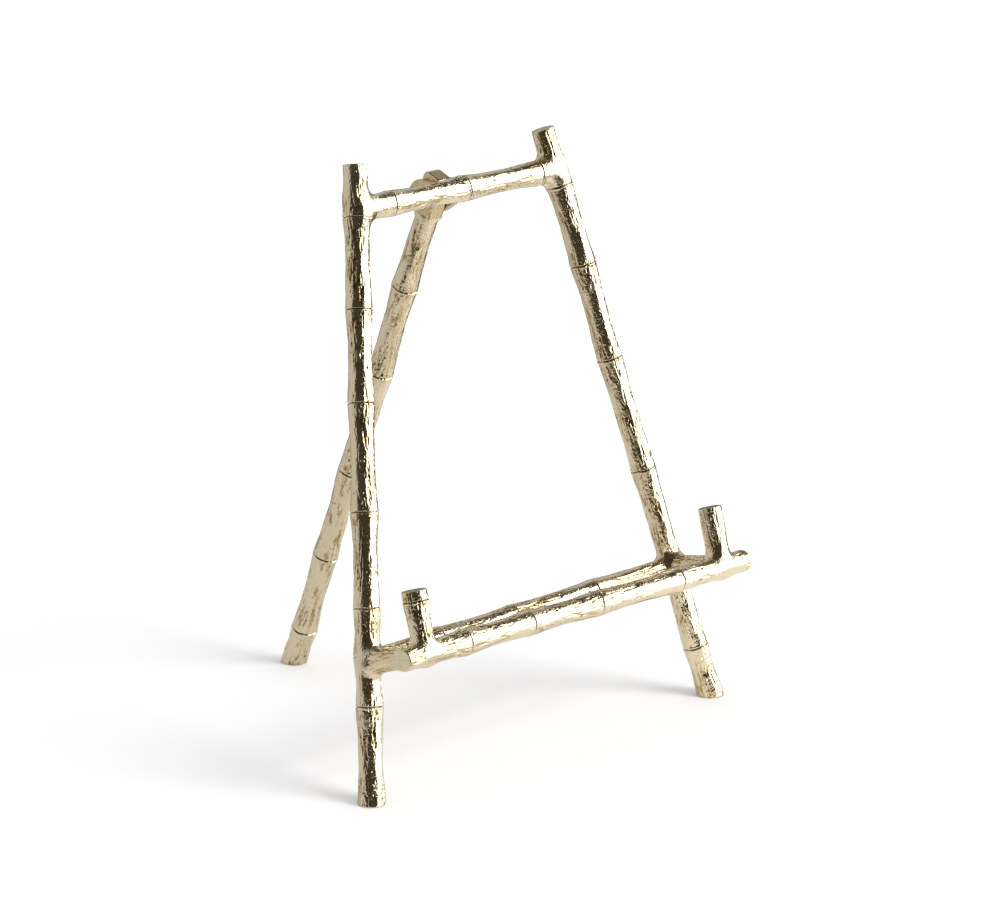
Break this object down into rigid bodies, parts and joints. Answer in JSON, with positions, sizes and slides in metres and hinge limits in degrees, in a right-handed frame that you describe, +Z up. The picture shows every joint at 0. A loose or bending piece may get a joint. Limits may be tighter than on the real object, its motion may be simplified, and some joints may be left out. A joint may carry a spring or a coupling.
{
  "type": "display easel",
  "caption": "Tabletop display easel of bamboo-pattern cast metal sticks: leaning front frame, pegged ledge, and a back leg that folds forward on a riveted hinge.",
  "frame": {"origin": "on the surface it stands on, under the middle of the bounding box", "axes": "+Z up, the easel faces -Y, +X to the right of someone who looks at its front"},
  "size_m": [0.2356, 0.2126, 0.2815],
  "materials": {
    "champagne_plate": "glossy pale champagne-gold plating over rough cast metal, with fine pits and grooves along the sticks",
    "pin_plate": "pale gold plated rivet with domed heads"
  },
  "bodies": {
    "front_frame": {"left_front_leg": "champagne_plate", "right_front_leg": "champagne_plate", "top_crossbar": "champagne_plate", "lower_crossbar": "champagne_plate", "ledge_rail": "champagne_plate", "left_ledge_arm": "champagne_plate", "right_ledge_arm": "champagne_plate", "left_ledge_peg": "champagne_plate", "right_ledge_peg": "champagne_plate", "left_hinge_lug": "champagne_plate", "right_hinge_lug": "champagne_plate", "hinge_pin": "pin_plate"},
    "rear_leg": {"back_leg": "champagne_plate"}
  },
  "joints": [
    {"name": "back_leg_hinge", "type": "hinge", "parent": "front_frame", "child": "rear_leg", "pos_m": [-0.0018, -0.00404, 0.25553], "axis": [-1, 0, 0], "range_deg": [0, 35]}
  ]
}
